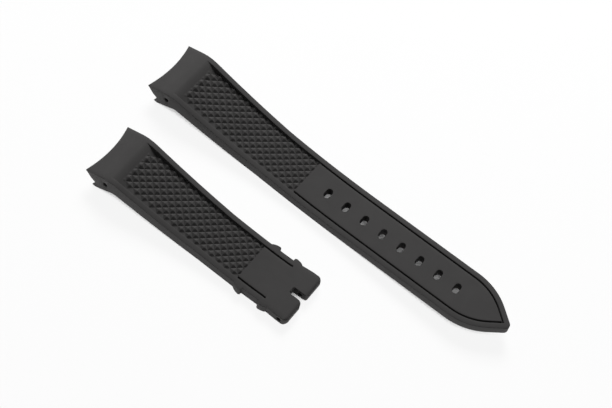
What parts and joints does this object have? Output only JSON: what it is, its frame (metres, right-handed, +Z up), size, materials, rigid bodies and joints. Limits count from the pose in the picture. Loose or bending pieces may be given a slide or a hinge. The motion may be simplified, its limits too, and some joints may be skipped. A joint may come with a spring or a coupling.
{
  "type": "rubber watch strap",
  "caption": "Two-piece moulded rubber watch strap with curved lug ends, knurled recess, tang holes, pointed tip and slotted buckle end.",
  "frame": {"origin": "middle of the pair on the surface that both halves lie on", "axes": "+X from the lug ends to the free ends, along the long half; +Y across, from the short half to the long half; +Z up, out of the knurled face"},
  "size_m": [0.1324, 0.0552, 0.0084],
  "materials": {
    "rubber": "matt charcoal moulded rubber",
    "liner_tube": "plain drawn steel tube"
  },
  "bodies": {
    "long_head": {"long_head": "rubber", "long_lug_tube": "liner_tube"},
    "long_grip_1": {"long_grip_1": "rubber"},
    "long_grip_2": {"long_grip_2": "rubber"},
    "long_hole_band_1": {"long_hole_band_1": "rubber"},
    "long_hole_band_2": {"long_hole_band_2": "rubber"},
    "long_tip": {"long_tip": "rubber"},
    "short_head": {"short_head": "rubber", "short_lug_tube": "liner_tube"},
    "short_grip_1": {"short_grip_1": "rubber"},
    "short_grip_2": {"short_grip_2": "rubber"},
    "short_buckle_tail": {"short_buckle_tail": "rubber", "buckle_ear_tubes": "liner_tube"}
  },
  "joints": [
    {"name": "long_flex_1", "type": "hinge", "parent": "long_head", "child": "long_grip_1", "pos_m": [-0.04989, 0.01769, 0.00497], "axis": [0, 1, 0], "range_deg": [-15, 40], "stiffness_Nm_per_rad": 0.0437, "springref_deg": -0.17},
    {"name": "long_flex_2", "type": "hinge", "parent": "long_grip_1", "child": "long_grip_2", "pos_m": [-0.02973, 0.01769, 0.00262], "axis": [0, 1, 0], "range_deg": [-15, 40], "stiffness_Nm_per_rad": 0.0163, "springref_deg": -2.26},
    {"name": "long_flex_3", "type": "hinge", "parent": "long_grip_2", "child": "long_hole_band_1", "pos_m": [-0.00865, 0.01769, 0.00167], "axis": [0, 1, 0], "range_deg": [-15, 40], "stiffness_Nm_per_rad": 0.0126, "springref_deg": -6.72},
    {"name": "long_flex_4", "type": "hinge", "parent": "long_hole_band_1", "child": "long_hole_band_2", "pos_m": [0.01524, 0.01769, 0.0024], "axis": [0, 1, 0], "range_deg": [-15, 40], "stiffness_Nm_per_rad": 0.0133, "springref_deg": -2.79},
    {"name": "long_flex_5", "type": "hinge", "parent": "long_hole_band_2", "child": "long_tip", "pos_m": [0.03621, 0.01769, 0.00352], "axis": [0, 1, 0], "range_deg": [-15, 40], "stiffness_Nm_per_rad": 0.0117, "springref_deg": -0.96},
    {"name": "short_half_lift", "type": "slide", "parent": "long_head", "child": "short_head", "axis": [0, 0, 1], "range_m": [0, 0.06]},
    {"name": "short_flex_1", "type": "hinge", "parent": "short_head", "child": "short_grip_1", "pos_m": [-0.04459, -0.01732, 0.00497], "axis": [-0.0227, 0.9997, 0], "range_deg": [-15, 40], "stiffness_Nm_per_rad": 0.0468, "springref_deg": 0.22},
    {"name": "short_flex_2", "type": "hinge", "parent": "short_grip_1", "child": "short_grip_2", "pos_m": [-0.02595, -0.0169, 0.00274], "axis": [-0.0227, 0.9997, 0], "range_deg": [-15, 40], "stiffness_Nm_per_rad": 0.0191, "springref_deg": 0.6},
    {"name": "short_flex_3", "type": "hinge", "parent": "short_grip_2", "child": "short_buckle_tail", "pos_m": [-0.00732, -0.01647, 0.00173], "axis": [-0.0227, 0.9997, 0], "range_deg": [-15, 40], "stiffness_Nm_per_rad": 0.0138, "springref_deg": -0.13}
  ]
}
